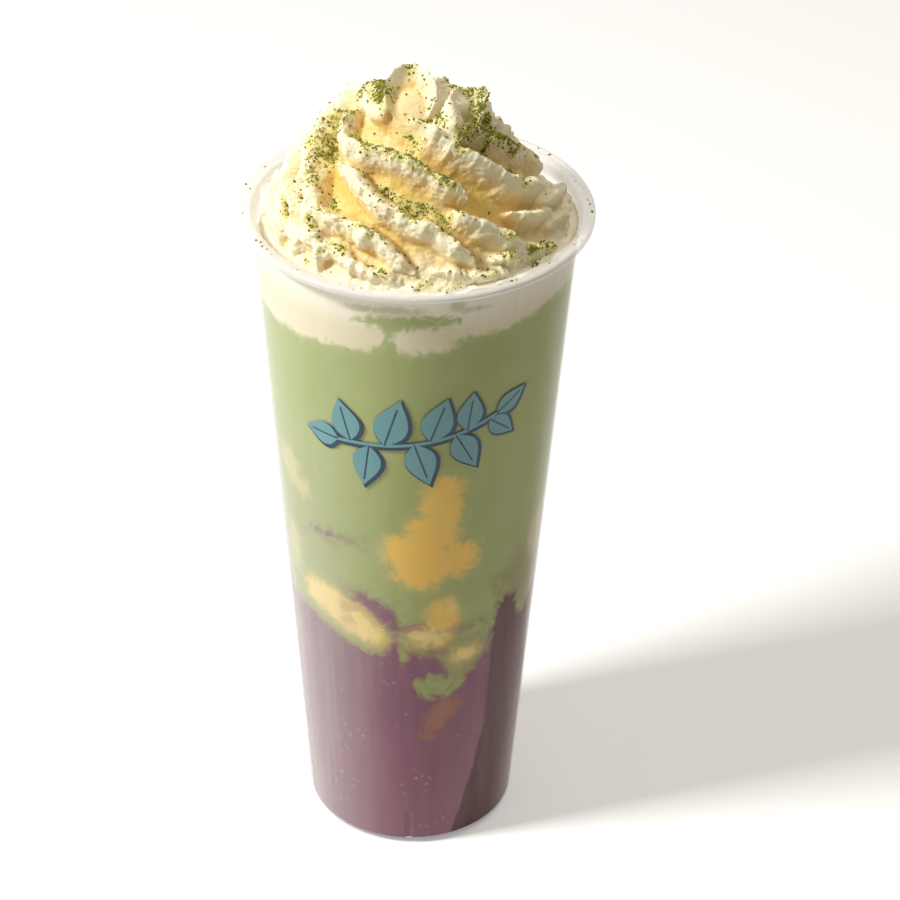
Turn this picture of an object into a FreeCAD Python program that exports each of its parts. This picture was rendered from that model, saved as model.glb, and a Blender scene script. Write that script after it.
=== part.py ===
"""Iced ube matcha latte in a tall clear plastic cup, in millimetres, +Z up.

The cup is one injection moulding: a tapered wall on a foot ring, with a sealing flange round its mouth
and four stacking ribs inside its base.  It holds a layer of purple ube milk, a layer of matcha latte and
lumps of custard against the wall.  A layer of cream lies under the mouth, and on it stands a twisted swirl
of whipped cream from a star nozzle.  The origin is the middle of the foot, on the surface that the cup stands on.
"""

import FreeCAD
import Part
import math
import os

Vector = FreeCAD.Vector

# Cup
CUP_HEIGHT = 186.0
FOOT_RADIUS = 27.8          # outside of the wall, where it would reach the floor
MOUTH_RADIUS = 41.5         # outside of the wall, at the top
WALL = 0.7
FLANGE_WIDTH = 3.5          # beyond the wall
FLANGE_THICKNESS = 1.0
LIP_DEPTH = 1.9             # from the top of the flange to the lower edge of its lip
LIP_THICKNESS = 0.9
FOOT_ROUND = 2.4            # outside corner of the foot
FOOT_RING_WIDTH = 1.0       # flat ring that the cup stands on
BASE_RECESS = 2.4           # height of the base panel's underside
BASE_THICKNESS = 1.0
BASE_ROUND = 1.8            # inside corner of the base
RIB_COUNT = 4
RIB_HEIGHT = 8.5
RIB_WIDTH = 1.3
RIB_DEPTH = 0.8

# Drink: levels are heights above the table, waves are (angle in degrees, height, angular width)
UBE_LEVEL = 71.0
UBE_WAVES = [(-80, 2.0, 25), (-18, -2.5, 22), (26, -13.0, 13), (54, 9.0, 15), (112, -7.0, 22),
             (160, 6.0, 18), (-140, -6.0, 24)]
CREAM_UNDERSIDE = 166.0
CREAM_UNDERSIDE_WAVES = [(-60, -2.5, 30), (-9, 7.0, 5), (45, 4.5, 24), (110, -2.0, 26), (165, 3.0, 20),
                         (-130, 3.5, 22)]
LEVEL_GRID_STEP = 3.5       # spacing of the points that carry a wavy level

# Custard lumps: each is a few joined balls whose middles lie just inside the wall, given as
# (angle in degrees, height, radius)
LUMP_SINK = 0.8             # from the wall to the middle of each ball
LUMPS = {
    "custard_front": [(-1, 104, 8.4), (6, 100.5, 8.8), (18, 101, 6.2), (9, 112, 7.2), (13, 120, 5.6)],
    "custard_low_left": [(-46, 81.5, 3.6), (-38, 80, 4.4), (-28, 78, 4.3), (-20, 75.5, 3.5)],
    "custard_low_right": [(18, 82, 3.9), (13, 77, 4.8), (8, 71, 4.3)],
    "custard_small": [(26, 66, 2.6)],
    "custard_back_left": [(-136, 92, 5.4), (-128, 97, 7.8), (-117, 103, 6.6)],
    "custard_back_right": [(114, 88, 5.6), (124, 84, 7.0), (134, 80, 4.8)],
}

# Whipped cream: heights from here on are above the mouth of the cup
CREAM_EDGE_HIGH = -1.5      # where the bed of cream meets the wall, at its highest
CREAM_EDGE_LOW = -8.5       # and at its lowest
CREAM_LOW_AT = -145.0       # way that the bed slopes down, in degrees round the cup
SWIRL_MIDDLE = (1.5, -3.6)  # x and y of the swirl's axis at the mouth of the cup
SWIRL_LEAN = -0.12          # shift of the axis along x for each millimetre of height
# (height, radius at the ridges, depth of the valleys between them)
SWIRL_PROFILE = [(-10.0, 35.4, 3.6), (0.0, 38.0, 6.0), (6.0, 36.6, 7.6), (12.0, 33.6, 8.2), (18.0, 29.8, 8.2),
                 (24.0, 25.6, 7.4), (30.0, 20.6, 6.0), (35.0, 14.0, 3.8), (38.0, 5.0, 1.0)]
# ridges round the swirl: (angle at the mouth in degrees, share of the full depth, height where it runs out)
RIDGES = [(4, 0.85, 14), (33, 1.00, 26), (61, 0.80, 18), (86, 1.10, 31), (111, 1.05, 36), (137, 0.75, 20),
          (163, 1.00, 38), (190, 0.85, 25), (217, 1.05, 37), (245, 0.80, 19), (273, 1.00, 34), (303, 0.90, 25),
          (333, 0.80, 16)]
RIDGE_SLOPE = 28.0          # degrees between the ridges and the level
RIDGE_FADE = 5.0            # height over which a ridge runs out
CREST_SHARPNESS = 1.3
POINTS_A_RIDGE = 6
SECTION_STEP = 3.2          # height between sections of the swirl

# Curled tongues at the top, where the nozzle was pulled away: (x, y and height of the foot, length, width,
# depth of the hollow, thickness, lean at the foot and at the tip and way that the hollow faces in degrees)
CURLS = [(-2.5, -12.0, 28.5, 14.6, 13.0, 4.2, 2.2, 12, 50, 3), (-11.5, -7.0, 31.0, 11.5, 7.0, -1.4, 4.2, -40, -120, 24),
         (9.5, -8.0, 28.0, 10.5, 11.5, 4.0, 2.4, 10, -14, 35)]
CURL_SECTIONS = 7
CURL_TIP = 0.35             # width of the tip as a share of the widest place

TAU_DEGREES = 360.0


def wall_radius(height):
    """Outside radius of the cup's wall at a height."""
    return FOOT_RADIUS + (MOUTH_RADIUS - FOOT_RADIUS) * height / CUP_HEIGHT


def inner_radius(height):
    """Inside radius of the cup's wall at a height."""
    return wall_radius(height) - WALL


def rounded_face(corners):
    """Flat face in the XZ plane from corners (radius, height, rounding), each rounded by a tangent arc."""
    edges = []
    count = len(corners)
    last_end = None
    first_start = None
    for i, (r, z, rounding) in enumerate(corners):
        here = Vector(r, 0, z)
        before = Vector(corners[i - 1][0], 0, corners[i - 1][1]) - here
        after = Vector(corners[(i + 1) % count][0], 0, corners[(i + 1) % count][1]) - here
        before.normalize()
        after.normalize()
        if rounding > 0:
            half = before.getAngle(after) / 2
            reach = rounding / math.tan(half)
            start = here + before * reach
            end = here + after * reach
            bisector = before + after
            bisector.normalize()
            middle = here + bisector * (rounding / math.sin(half) - rounding)
            arc = Part.Arc(start, middle, end).toShape()
        else:
            start = end = here
            arc = None
        if last_end is not None and (start - last_end).Length > 1e-6:
            edges.append(Part.LineSegment(last_end, start).toShape())
        if arc is not None:
            edges.append(arc)
        last_end = end
        if first_start is None:
            first_start = start
    if (first_start - last_end).Length > 1e-6:
        edges.append(Part.LineSegment(last_end, first_start).toShape())
    return Part.Face(Part.Wire(edges))


def turned(face):
    """Solid of revolution about the cup's axis."""
    return face.revolve(Vector(0, 0, 0), Vector(0, 0, 1), TAU_DEGREES)


def floor_height():
    """Height of the inside of the base."""
    return BASE_RECESS + BASE_THICKNESS


def cup_solid():
    """The empty cup, without its stacking ribs."""
    top = CUP_HEIGHT
    flange_radius = MOUTH_RADIUS + FLANGE_WIDTH
    flange_under = top - FLANGE_THICKNESS
    lip_end = top - LIP_DEPTH
    ring_inner = FOOT_RADIUS - FOOT_ROUND - FOOT_RING_WIDTH
    small = LIP_THICKNESS * 0.4
    corners = [
        (0, BASE_RECESS, 0),
        (ring_inner, BASE_RECESS, FOOT_RING_WIDTH * 0.8),
        (ring_inner, 0, FOOT_RING_WIDTH * 0.3),
        (FOOT_RADIUS, 0, FOOT_ROUND),
        (wall_radius(flange_under), flange_under, FLANGE_THICKNESS * 0.6),
        (flange_radius - LIP_THICKNESS, flange_under, FLANGE_THICKNESS * 0.3),
        (flange_radius - LIP_THICKNESS, lip_end, small),
        (flange_radius, lip_end, small),
        (flange_radius, top, FLANGE_THICKNESS * 0.5),
        (inner_radius(top), top, FLANGE_THICKNESS * 0.5),
        (inner_radius(floor_height()), floor_height(), BASE_ROUND),
        (0, floor_height(), 0),
    ]
    return turned(rounded_face(corners))


def inside_solid():
    """The room inside the cup, from its base to a plane through its mouth."""
    below_rounding = CUP_HEIGHT - FLANGE_THICKNESS
    corners = [
        (0, floor_height(), 0),
        (inner_radius(floor_height()), floor_height(), BASE_ROUND),
        (inner_radius(below_rounding), below_rounding, 0),
        (0, below_rounding, 0),
    ]
    return turned(rounded_face(corners))


def stacking_ribs():
    """Upright ribs that stand on the base and against the wall, rounded at the top."""
    ribs = []
    low = floor_height() - BASE_THICKNESS / 2
    high = floor_height() + RIB_HEIGHT
    for n in range(RIB_COUNT):
        rib = rounded_face([
            (inner_radius(low) - RIB_DEPTH, low, 0),
            (inner_radius(low) + WALL / 2, low, 0),
            (inner_radius(high) + WALL / 2, high, 0),
            (inner_radius(high) - RIB_DEPTH, high, RIB_DEPTH),
        ]).extrude(Vector(0, RIB_WIDTH, 0))
        rib.translate(Vector(0, -RIB_WIDTH / 2, 0))
        rib.rotate(Vector(0, 0, 0), Vector(0, 0, 1), -90 + n * TAU_DEGREES / RIB_COUNT)
        ribs.append(rib)
    return ribs


def angle_apart(a, b):
    """Difference of two angles in degrees, from -180 to 180."""
    return (a - b + 180) % TAU_DEGREES - 180


def wavy_level(level, waves, wall):
    """Height of a liquid's surface as a function of x and y: flat in the middle, wavy at the wall."""
    def height(x, y):
        away = math.hypot(x, y) / wall
        angle = math.degrees(math.atan2(x, -y))
        lift = sum(h * math.exp(-(angle_apart(angle, a) / w) ** 2) for a, h, w in waves)
        return level + lift * min(away, 1.25) ** 2
    return height


def above(height, wall):
    """Solid that fills everything over the surface z = height(x, y) across the cup."""
    reach = wall + 2 * LEVEL_GRID_STEP
    count = 2 * math.ceil(reach / LEVEL_GRID_STEP) + 1
    places = [-reach + 2 * reach * i / (count - 1) for i in range(count)]
    surface = Part.BSplineSurface()
    surface.interpolate([[Vector(x, y, height(x, y)) for y in places] for x in places])
    return surface.toShape().extrude(Vector(0, 0, 2 * CUP_HEIGHT))


def ball(angle, height, radius):
    """Ball just inside the wall, with its poles towards the wall and the middle of the cup."""
    away = inner_radius(height) - LUMP_SINK
    solid = Part.makeSphere(radius)
    solid.rotate(Vector(0, 0, 0), Vector(1, 0, 0), 90)
    solid.translate(Vector(0, -away, height))
    solid.rotate(Vector(0, 0, 0), Vector(0, 0, 1), angle)
    return solid


def lump_solid(balls, inside):
    """A custard lump that lies against the wall, cut off by it."""
    first, *others = [ball(*b).common(inside) for b in balls]
    return first.fuse(others).removeSplitter() if others else first


def profile_at(height, column):
    """Value of a column of SWIRL_PROFILE at a height above the mouth, between its rows."""
    rows = SWIRL_PROFILE
    for low, high in zip(rows, rows[1:]):
        if height <= high[0]:
            share = (height - low[0]) / (high[0] - low[0])
            return low[column] + (high[column] - low[column]) * max(share, 0.0)
    return rows[-1][column]


def swirl_heights():
    """Evenly spaced heights of the swirl's sections."""
    low, high = SWIRL_PROFILE[0][0], SWIRL_PROFILE[-1][0]
    count = math.ceil((high - low) / SECTION_STEP) + 1
    return [low + (high - low) * i / (count - 1) for i in range(count)]


def swirl_turns(heights):
    """Degrees that the ridges have turned by at each height, for ridges of one slope all the way up."""
    turns = [0.0]
    for low, high in zip(heights, heights[1:]):
        radius = max(profile_at((low + high) / 2, 1), profile_at(SWIRL_PROFILE[-2][0], 1))
        turns.append(turns[-1] + math.degrees((high - low) / (radius * math.tan(math.radians(RIDGE_SLOPE)))))
    mouth = next(i for i, height in enumerate(heights) if height >= 0)
    return [turn - turns[mouth] for turn in turns]


def ridge_share(ridge, height):
    """Share of the full depth that a ridge has at a height: it fades out at the height where it ends."""
    _, share, end = ridge
    left = (end + RIDGE_FADE / 2 - height) / RIDGE_FADE
    return share * min(max(left, 0.0), 1.0)


def swirl_section(height, turn):
    """Points round the swirl at a height: narrow ridges with wider valleys, from one valley on."""
    radius = profile_at(height, 1)
    depth = profile_at(height, 2)
    middle_x, middle_y = SWIRL_MIDDLE[0] + SWIRL_LEAN * height, SWIRL_MIDDLE[1]
    points = []
    for n, ridge in enumerate(RIDGES):
        gap_before = (ridge[0] - RIDGES[n - 1][0]) % TAU_DEGREES
        gap_after = (RIDGES[(n + 1) % len(RIDGES)][0] - ridge[0]) % TAU_DEGREES
        for step in range(POINTS_A_RIDGE):
            share = step / POINTS_A_RIDGE - 0.5
            crest = ((1 + math.cos(2 * math.pi * share)) / 2) ** CREST_SHARPNESS
            r = radius - depth + depth * ridge_share(ridge, height) * crest
            a = math.radians(ridge[0] + share * (gap_before if share < 0 else gap_after) - turn)
            points.append(Vector(middle_x + r * math.sin(a), middle_y - r * math.cos(a), CUP_HEIGHT + height))
    return points


def swirl_solid():
    """The twisted swirl: one smooth surface over its sections, with a face for each ridge, a foot and a top."""
    heights = swirl_heights()
    net = [swirl_section(h, turn) for h, turn in zip(heights, swirl_turns(heights))]
    round_count = len(net[0])
    height_count = len(net)
    degree = 3
    surface = Part.BSplineSurface()
    surface.buildFromPolesMultsKnots(
        [[net[j][i - 1] for j in range(height_count)] for i in range(round_count)],
        [1] * (round_count + 1),
        [degree + 1] + [1] * (height_count - degree - 1) + [degree + 1],
        list(range(round_count + 1)),
        list(range(height_count - degree + 1)),
        True,
        False,
        degree,
        degree,
    )
    faces = [
        surface.toShape(n * POINTS_A_RIDGE, (n + 1) * POINTS_A_RIDGE, 0, height_count - degree)
        for n in range(len(RIDGES))
    ]
    for height in (heights[0], heights[-1]):
        level = CUP_HEIGHT + height
        rim = [e for f in faces for e in f.Edges if all(abs(v.Z - level) < 1e-6 for v in e.Vertexes)]
        faces.append(Part.Face(Part.Wire(rim)))
    shell = Part.makeShell(faces)
    shell.sewShape()
    solid = Part.makeSolid(shell)
    solid.fix(0.001, 0.001, 0.001)
    return solid


def crescent(width, hollow, thickness):
    """Closed outline of a curl's section in the XY plane, bent round a hollow that faces -Y."""
    across = [-1.0, -0.65, 0.0, 0.65, 1.0]
    bend = [Vector(width / 2 * a, -hollow * a * a, 0) for a in across]
    half = [thickness / 2 * (1 - 0.6 * abs(a) ** 3) for a in across]
    front = [p - Vector(0, h, 0) for p, h in zip(bend, half)]
    back = [p + Vector(0, h, 0) for p, h in zip(bend, half)]
    outline = Part.BSplineCurve()
    outline.interpolate(Points=front + back[::-1], PeriodicFlag=True)
    return Part.Wire([outline.toShape()])


def curl_solid(x, y, height, length, width, hollow, thickness, foot_lean, tip_lean, facing):
    """A curled tongue of cream: crescents along an arc that leans over more and more."""
    place = Vector(0, 0, 0)
    sections = []
    for n in range(CURL_SECTIONS):
        share = n / (CURL_SECTIONS - 1)
        lean = foot_lean + (tip_lean - foot_lean) * share
        swell = CURL_TIP + (1 - CURL_TIP) * math.cos(math.pi / 2 * max(2 * share - 1, 0.0)) ** 0.5
        section = crescent(width * swell, hollow * swell, thickness)
        section.rotate(Vector(0, 0, 0), Vector(1, 0, 0), -lean)
        section.translate(place)
        sections.append(section)
        turn = math.radians(lean)
        place += Vector(0, math.sin(turn), math.cos(turn)) * length / (CURL_SECTIONS - 1)
    curl = Part.makeLoft(sections, True)
    curl.rotate(Vector(0, 0, 0), Vector(0, 0, 1), facing)
    curl.translate(Vector(x, y, CUP_HEIGHT + height))
    return curl


def cream_edge(x, y):
    """Height of the bed of cream beside the swirl, which slopes down towards one side."""
    way = math.radians(CREAM_LOW_AT)
    down = (x * math.sin(way) - y * math.cos(way)) / MOUTH_RADIUS
    return CUP_HEIGHT + (CREAM_EDGE_HIGH + CREAM_EDGE_LOW) / 2 + (CREAM_EDGE_LOW - CREAM_EDGE_HIGH) / 2 * down


def cream_solids(inside, underside):
    """The layer of cream under the mouth and the swirl that stands on it with its curls."""
    over_edge = above(cream_edge, MOUTH_RADIUS)
    layer = inside.common(above(underside, MOUTH_RADIUS)).cut(over_edge)
    swirl = swirl_solid().common(over_edge)
    for curl in CURLS:
        swirl = swirl.fuse(curl_solid(*curl))
    return layer, swirl


def only_solid(shape):
    """The shape as its one solid; the largest, if a cut left slivers beside it."""
    return max(shape.Solids, key=lambda s: s.Volume)


def main():
    os.makedirs("parts", exist_ok=True)
    ribs = stacking_ribs()
    cup = cup_solid().fuse(ribs).removeSplitter()
    inside = inside_solid().cut(Part.makeCompound(ribs))
    ube_top = above(wavy_level(UBE_LEVEL, UBE_WAVES, inner_radius(UBE_LEVEL)), MOUTH_RADIUS)
    underside = wavy_level(CREAM_UNDERSIDE, CREAM_UNDERSIDE_WAVES, inner_radius(CREAM_UNDERSIDE))
    lumps = {name: lump_solid(blobs, inside) for name, blobs in LUMPS.items()}
    drink = inside.cut(list(lumps.values()))
    cream_layer, cream_swirl = cream_solids(inside, underside)
    nodes = {
        "cup": cup,
        "ube_milk": drink.cut(ube_top),
        "matcha_latte": drink.common(ube_top).cut(above(underside, MOUTH_RADIUS)),
        "cream_layer": cream_layer,
        "cream_swirl": cream_swirl,
    }
    nodes.update(lumps)
    for name, shape in nodes.items():
        solid = only_solid(shape)
        if not solid.isValid():
            raise ValueError(name + " is not a valid solid")
        solid.exportStep("parts/" + name + ".step")
        print("%-20s %2d solids %4d faces %10.1f mm3" % (name, len(shape.Solids), len(solid.Faces), solid.Volume))


main()
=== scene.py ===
"""Looks of an iced ube matcha latte: a clear cup of layered drink under a swirl of dusted whipped cream.

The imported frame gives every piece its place.  The sections follow the order in which the drink is put
together, and the floor, the light and the camera come last.
"""

import math
import random

import bmesh
import bpy
import numpy as np
from mathutils import Matrix, Vector, noise
from mathutils.bvhtree import BVHTree
from mathutils.kdtree import KDTree


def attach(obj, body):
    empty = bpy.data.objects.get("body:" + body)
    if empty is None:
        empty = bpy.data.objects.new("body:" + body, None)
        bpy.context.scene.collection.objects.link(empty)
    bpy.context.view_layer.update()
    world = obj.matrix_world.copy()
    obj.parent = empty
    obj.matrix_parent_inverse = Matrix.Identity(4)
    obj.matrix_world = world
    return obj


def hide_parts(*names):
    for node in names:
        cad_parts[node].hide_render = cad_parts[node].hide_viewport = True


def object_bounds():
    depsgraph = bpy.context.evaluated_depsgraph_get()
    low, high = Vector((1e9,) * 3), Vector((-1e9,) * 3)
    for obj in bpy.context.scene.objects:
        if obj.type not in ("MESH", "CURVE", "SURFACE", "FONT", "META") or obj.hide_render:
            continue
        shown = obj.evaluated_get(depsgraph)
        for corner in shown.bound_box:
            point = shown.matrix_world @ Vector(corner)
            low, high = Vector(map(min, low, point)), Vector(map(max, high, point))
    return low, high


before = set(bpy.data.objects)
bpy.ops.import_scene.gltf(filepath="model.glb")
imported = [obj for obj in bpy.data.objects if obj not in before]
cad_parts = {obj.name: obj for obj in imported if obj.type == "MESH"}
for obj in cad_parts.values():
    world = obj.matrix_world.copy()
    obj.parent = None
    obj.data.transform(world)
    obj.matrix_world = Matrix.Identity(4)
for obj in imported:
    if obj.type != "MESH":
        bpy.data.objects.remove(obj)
cad_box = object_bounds()
MM = 0.001
scene = bpy.context.scene


# ---- Cup ---------------------------------------------------------------------
# One thin-walled moulding of clear, slightly milky polypropylene: tapered wall, foot ring, sealing flange
# with a rolled lip, and four stacking ribs inside the base.  The wall is so thin that it hardly bends light.

CUP_HEIGHT = 186.0
WALL = 0.7
FOOT_RADIUS = 27.8
WALL_SPREAD = 13.7
CUP_STEPS = 192
RIB_SIZE = (1.3, 1.0, 8.2)
RIB_MIDDLE = (0.0, -27.0, 7.2)
# (radius, height) round the moulding, in millimetres: up the outside, over the lip and down to the inner floor
CUP_SECTION = [
    (24.4, 0.0), (25.4, 0.0), (26.6, 0.35), (27.5, 1.1), (28.0, 2.4),
    (41.25, 182.6), (41.5, 184.0), (42.0, 184.85), (43.2, 184.95), (44.0, 184.8), (44.1, 184.2), (44.35, 184.1),
    (44.8, 184.2), (45.0, 184.6), (45.0, 185.4), (44.7, 185.85), (44.2, 186.0), (42.2, 186.0), (41.3, 185.7),
    (40.85, 185.0), (40.6, 183.5), (27.4, 6.0), (27.0, 4.4), (26.2, 3.6), (25.0, 3.4),
    (24.6, 3.4), (0.0, 3.4),
]
CUP_UNDERSIDE = [(0.0, 2.4), (23.6, 2.4), (24.1, 2.1), (24.3, 1.2), (24.4, 0.0)]


def wall_radius(height):
    """Outside radius of the cup's wall, in millimetres, at a height above the table."""
    return FOOT_RADIUS + WALL_SPREAD * height / CUP_HEIGHT


def srgb(code, alpha=1.0):
    """Linear colour from a colour written as six hex digits."""
    parts = [int(code[i:i + 2], 16) / 255 for i in (0, 2, 4)]
    return tuple(c / 12.92 if c <= 0.04045 else ((c + 0.055) / 1.055) ** 2.4 for c in parts) + (alpha,)


def new_material(name):
    """Empty node material: returns it, its node tree and its output node."""
    material = bpy.data.materials.new(name)
    material.use_nodes = True
    material.node_tree.nodes.clear()
    output = material.node_tree.nodes.new("ShaderNodeOutputMaterial")
    return material, material.node_tree, output


def add(tree, kind, inputs=None, **settings):
    """Adds a node with its settings; an input is a number or colour, or another node's socket to link."""
    node = tree.nodes.new(kind)
    for key, value in settings.items():
        setattr(node, key, value)
    for key, value in (inputs or {}).items():
        if isinstance(value, bpy.types.NodeSocket):
            tree.links.new(value, node.inputs[key])
        else:
            node.inputs[key].default_value = value
    return node


def ramp(value, start, end, low=0.0, high=1.0, **settings):
    """Socket that goes from low to high while a value goes from start to end."""
    return add(tree, "ShaderNodeMapRange", {"Value": value, "From Min": start, "From Max": end, "To Min": low,
                                            "To Max": high}, **settings).outputs["Result"]


def cloudy(scale, detail=2.0, **more):
    """Socket of a soft noise over the piece, finer as scale grows."""
    return add(tree, "ShaderNodeTexNoise",
               {"Vector": place, "Scale": scale, "Detail": detail, **more}).outputs["Fac"]


def piece_from(bm, name, material, replaced=(), crisp=0):
    """Turns a finished bmesh into a piece that rides with the cup and takes a slot's finish.  It is smooth, but
    for edges that turn by more than crisp degrees."""
    mesh = bpy.data.meshes.new(name)
    bm.to_mesh(mesh)
    bm.free()
    mesh.shade_smooth()
    if crisp:
        mesh.set_sharp_from_angle(angle=math.radians(crisp))
    mesh.materials.append(material)
    piece = bpy.data.objects.new(name, mesh)
    scene.collection.objects.link(piece)
    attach(piece, "root")
    if replaced:
        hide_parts(*replaced)
    return piece


def spin_section(section, steps):
    """Closed solid of revolution from a list of (radius, height) in millimetres."""
    bm = bmesh.new()
    loop = [bm.verts.new((r * MM, 0, z * MM)) for r, z in section]
    edges = [bm.edges.new((a, b)) for a, b in zip(loop, loop[1:])]
    bmesh.ops.spin(bm, geom=loop + edges, cent=(0, 0, 0), axis=(0, 0, 1), angle=math.tau, steps=steps,
                   use_merge=True)
    bmesh.ops.remove_doubles(bm, verts=bm.verts, dist=1e-6)
    return bm


def take_in(bm, other):
    """Moves everything in another bmesh into this one."""
    scratch = bpy.data.meshes.new("scratch")
    other.to_mesh(scratch)
    other.free()
    bm.from_mesh(scratch)
    bpy.data.meshes.remove(scratch)


cup_mesh = spin_section(CUP_SECTION, CUP_STEPS)
take_in(cup_mesh, spin_section(CUP_UNDERSIDE, CUP_STEPS))
bmesh.ops.remove_doubles(cup_mesh, verts=cup_mesh.verts, dist=2e-6)
for turn in range(4):
    rib = bmesh.ops.create_cube(cup_mesh, size=1.0)["verts"]
    bmesh.ops.scale(cup_mesh, vec=[side * MM for side in RIB_SIZE], verts=rib)
    bmesh.ops.translate(cup_mesh, vec=[at * MM for at in RIB_MIDDLE], verts=rib)
    bmesh.ops.rotate(cup_mesh, cent=(0, 0, 0), matrix=Matrix.Rotation(turn * math.tau / 4, 3, "Z"), verts=rib)
bmesh.ops.recalc_face_normals(cup_mesh, faces=cup_mesh.faces)

# Polypropylene: IOR 1.49, polished outside.  It is clear face on, and milky in the thick flange and where the
# wall is seen edge on.  Upright flow marks one or two millimetres wide lie in it.  The plastic is made milkier
# at the left, most of all low down: painted light for the lamp's lit haze and highlight on that side.
cup_plastic, tree, output = new_material("clear_polypropylene")
place = add(tree, "ShaderNodeTexCoord").outputs["Object"]
axes = add(tree, "ShaderNodeSeparateXYZ", {0: place})
facing = add(tree, "ShaderNodeLayerWeight", {"Blend": 0.35})
edge_on = add(tree, "ShaderNodeMath", {0: facing.outputs["Facing"], 1: 4.2}, operation="POWER")
rim = ramp(axes.outputs["Z"], 0.1815, 0.1840, 0.0, 0.36)
tall = add(tree, "ShaderNodeMapping", {"Vector": place, "Scale": (1.0, 1.0, 0.03)})
flow_marks = ramp(cloudy(420.0, Vector=tall.outputs["Vector"]), 0.35, 0.75, 0.02, 0.08)
# Painted light: more milkiness at the left and low down, for the haze lit by the lamp and its highlight there
painted_light_at_left = ramp(axes.outputs["X"], -0.004, -0.022, 0.0, 0.27)
lower_down = ramp(axes.outputs["Z"], 0.150, 0.060, 0.25, 1.0)
painted_light_and_rim = add(tree, "ShaderNodeMath", {0: painted_light_at_left, 1: lower_down, 2: rim}, operation="MULTIPLY_ADD")
haze_and_painted_light = add(tree, "ShaderNodeMath", {0: flow_marks, 1: painted_light_and_rim.outputs[0]}, operation="ADD")
milkiness_and_painted_light = add(tree, "ShaderNodeMath", {0: edge_on.outputs[0], 1: 0.72, 2: haze_and_painted_light.outputs[0]},
                operation="MULTIPLY_ADD", use_clamp=True)
plastic = add(tree, "ShaderNodeBsdfPrincipled", {
    "Base Color": srgb("F2F1F0"), "Roughness": 0.12, "IOR": 1.49, "Alpha": milkiness_and_painted_light.outputs[0]})
tree.links.new(plastic.outputs[0], output.inputs["Surface"])

piece_from(cup_mesh, "clear_cup", cup_plastic, ("cup",), crisp=50)


# ---- Ube milk and matcha latte -----------------------------------------------
# Two milks poured one on the other over spoonfuls of custard pressed against the wall.  They mix only at
# their border, in tongues and smears; each is modelled out into the wall's thickness, so no air shows.

# Borders between the layers: level, and waves of (angle, rise, width in degrees)
UBE_TOP = (71.0, [(-80, 2.0, 25), (-18, -2.5, 22), (26, -13.0, 13), (54, 9.0, 15), (112, -7.0, 22),
                  (160, 6.0, 18), (-140, -6.0, 24)])
MATCHA_TOP = (166.0, [(-60, -2.5, 30), (-9, 7.0, 5), (45, 4.5, 24), (110, -2.0, 26), (165, 3.0, 20),
                      (-130, 3.5, 22)])
DRINK_STEPS = 320
BLOT_SOFTNESS = 0.9


def angle_from(angle, middle):
    """Angle in degrees seen from another, between -180 and 180."""
    return (angle - middle + 180) % 360 - 180


def wavy_level(border, angle, share):
    """Height of a wavy border at an angle in degrees, and a share of the radius from the middle."""
    height, waves = border
    for middle, rise, width in waves:
        height += rise * np.exp(-(angle_from(angle, middle) / width) ** 2) * share ** 2
    return height


def plan_angle(x, y):
    """Angle round the cup in degrees, 0 at the front and growing towards the right."""
    return np.degrees(np.arctan2(x, -y))


def layer_between(floor_of, roof_of, rows, rings):
    """Solid layer of drink between two borders, with rows of faces up its wall, rings of them across its floor
    and roof, and grooves for the cup's ribs."""
    section = [(i / rings, 0.0) for i in range(rings + 1)]
    section += [(1.0, j / rows) for j in range(1, rows + 1)]
    section += [(1 - i / rings, 1.0) for i in range(1, rings + 1)]
    bm = spin_section([(r / MM, z / MM) for r, z in section], DRINK_STEPS)
    bmesh.ops.recalc_face_normals(bm, faces=bm.faces)
    for v in bm.verts:
        share = min(math.hypot(v.co.x, v.co.y), 1.0)
        angle = plan_angle(v.co.x, v.co.y)
        low, high = floor_of(angle, share), roof_of(angle, share)
        z = low + (high - low) * v.co.z
        radius = (wall_radius(z) - WALL / 2) * MM
        from_rib = abs((angle + 45) % 90 - 45) * math.pi / 180 * wall_radius(z)
        if z < 13.0 and share > 0.9:
            radius -= 0.4 * MM * math.exp(-(from_rib / 0.8) ** 4) * min(max((12.0 - z) / 1.2, 0.0), 1.0)
        v.co = (v.co.x * radius, v.co.y * radius, z * MM)
    return bm


def blots(angle, height, spots):
    """How far, in millimetres, each point lies inside a group of ovals on the wall that run together softly.
    A spot is (angle, height, half width, half height, turn in degrees)."""
    total = np.zeros_like(angle)
    for a, z, w, h, turn in spots:
        along = angle_from(angle, a) * math.pi / 180 * wall_radius(z)
        up = height - z
        c, s = math.cos(math.radians(turn)), math.sin(math.radians(turn))
        reach = np.sqrt(((along * c + up * s) / w) ** 2 + ((up * c - along * s) / h) ** 2)
        total += np.exp((1 - reach) * min(w, h) / BLOT_SOFTNESS)
    return np.log(total + 1e-4) * BLOT_SOFTNESS


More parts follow.
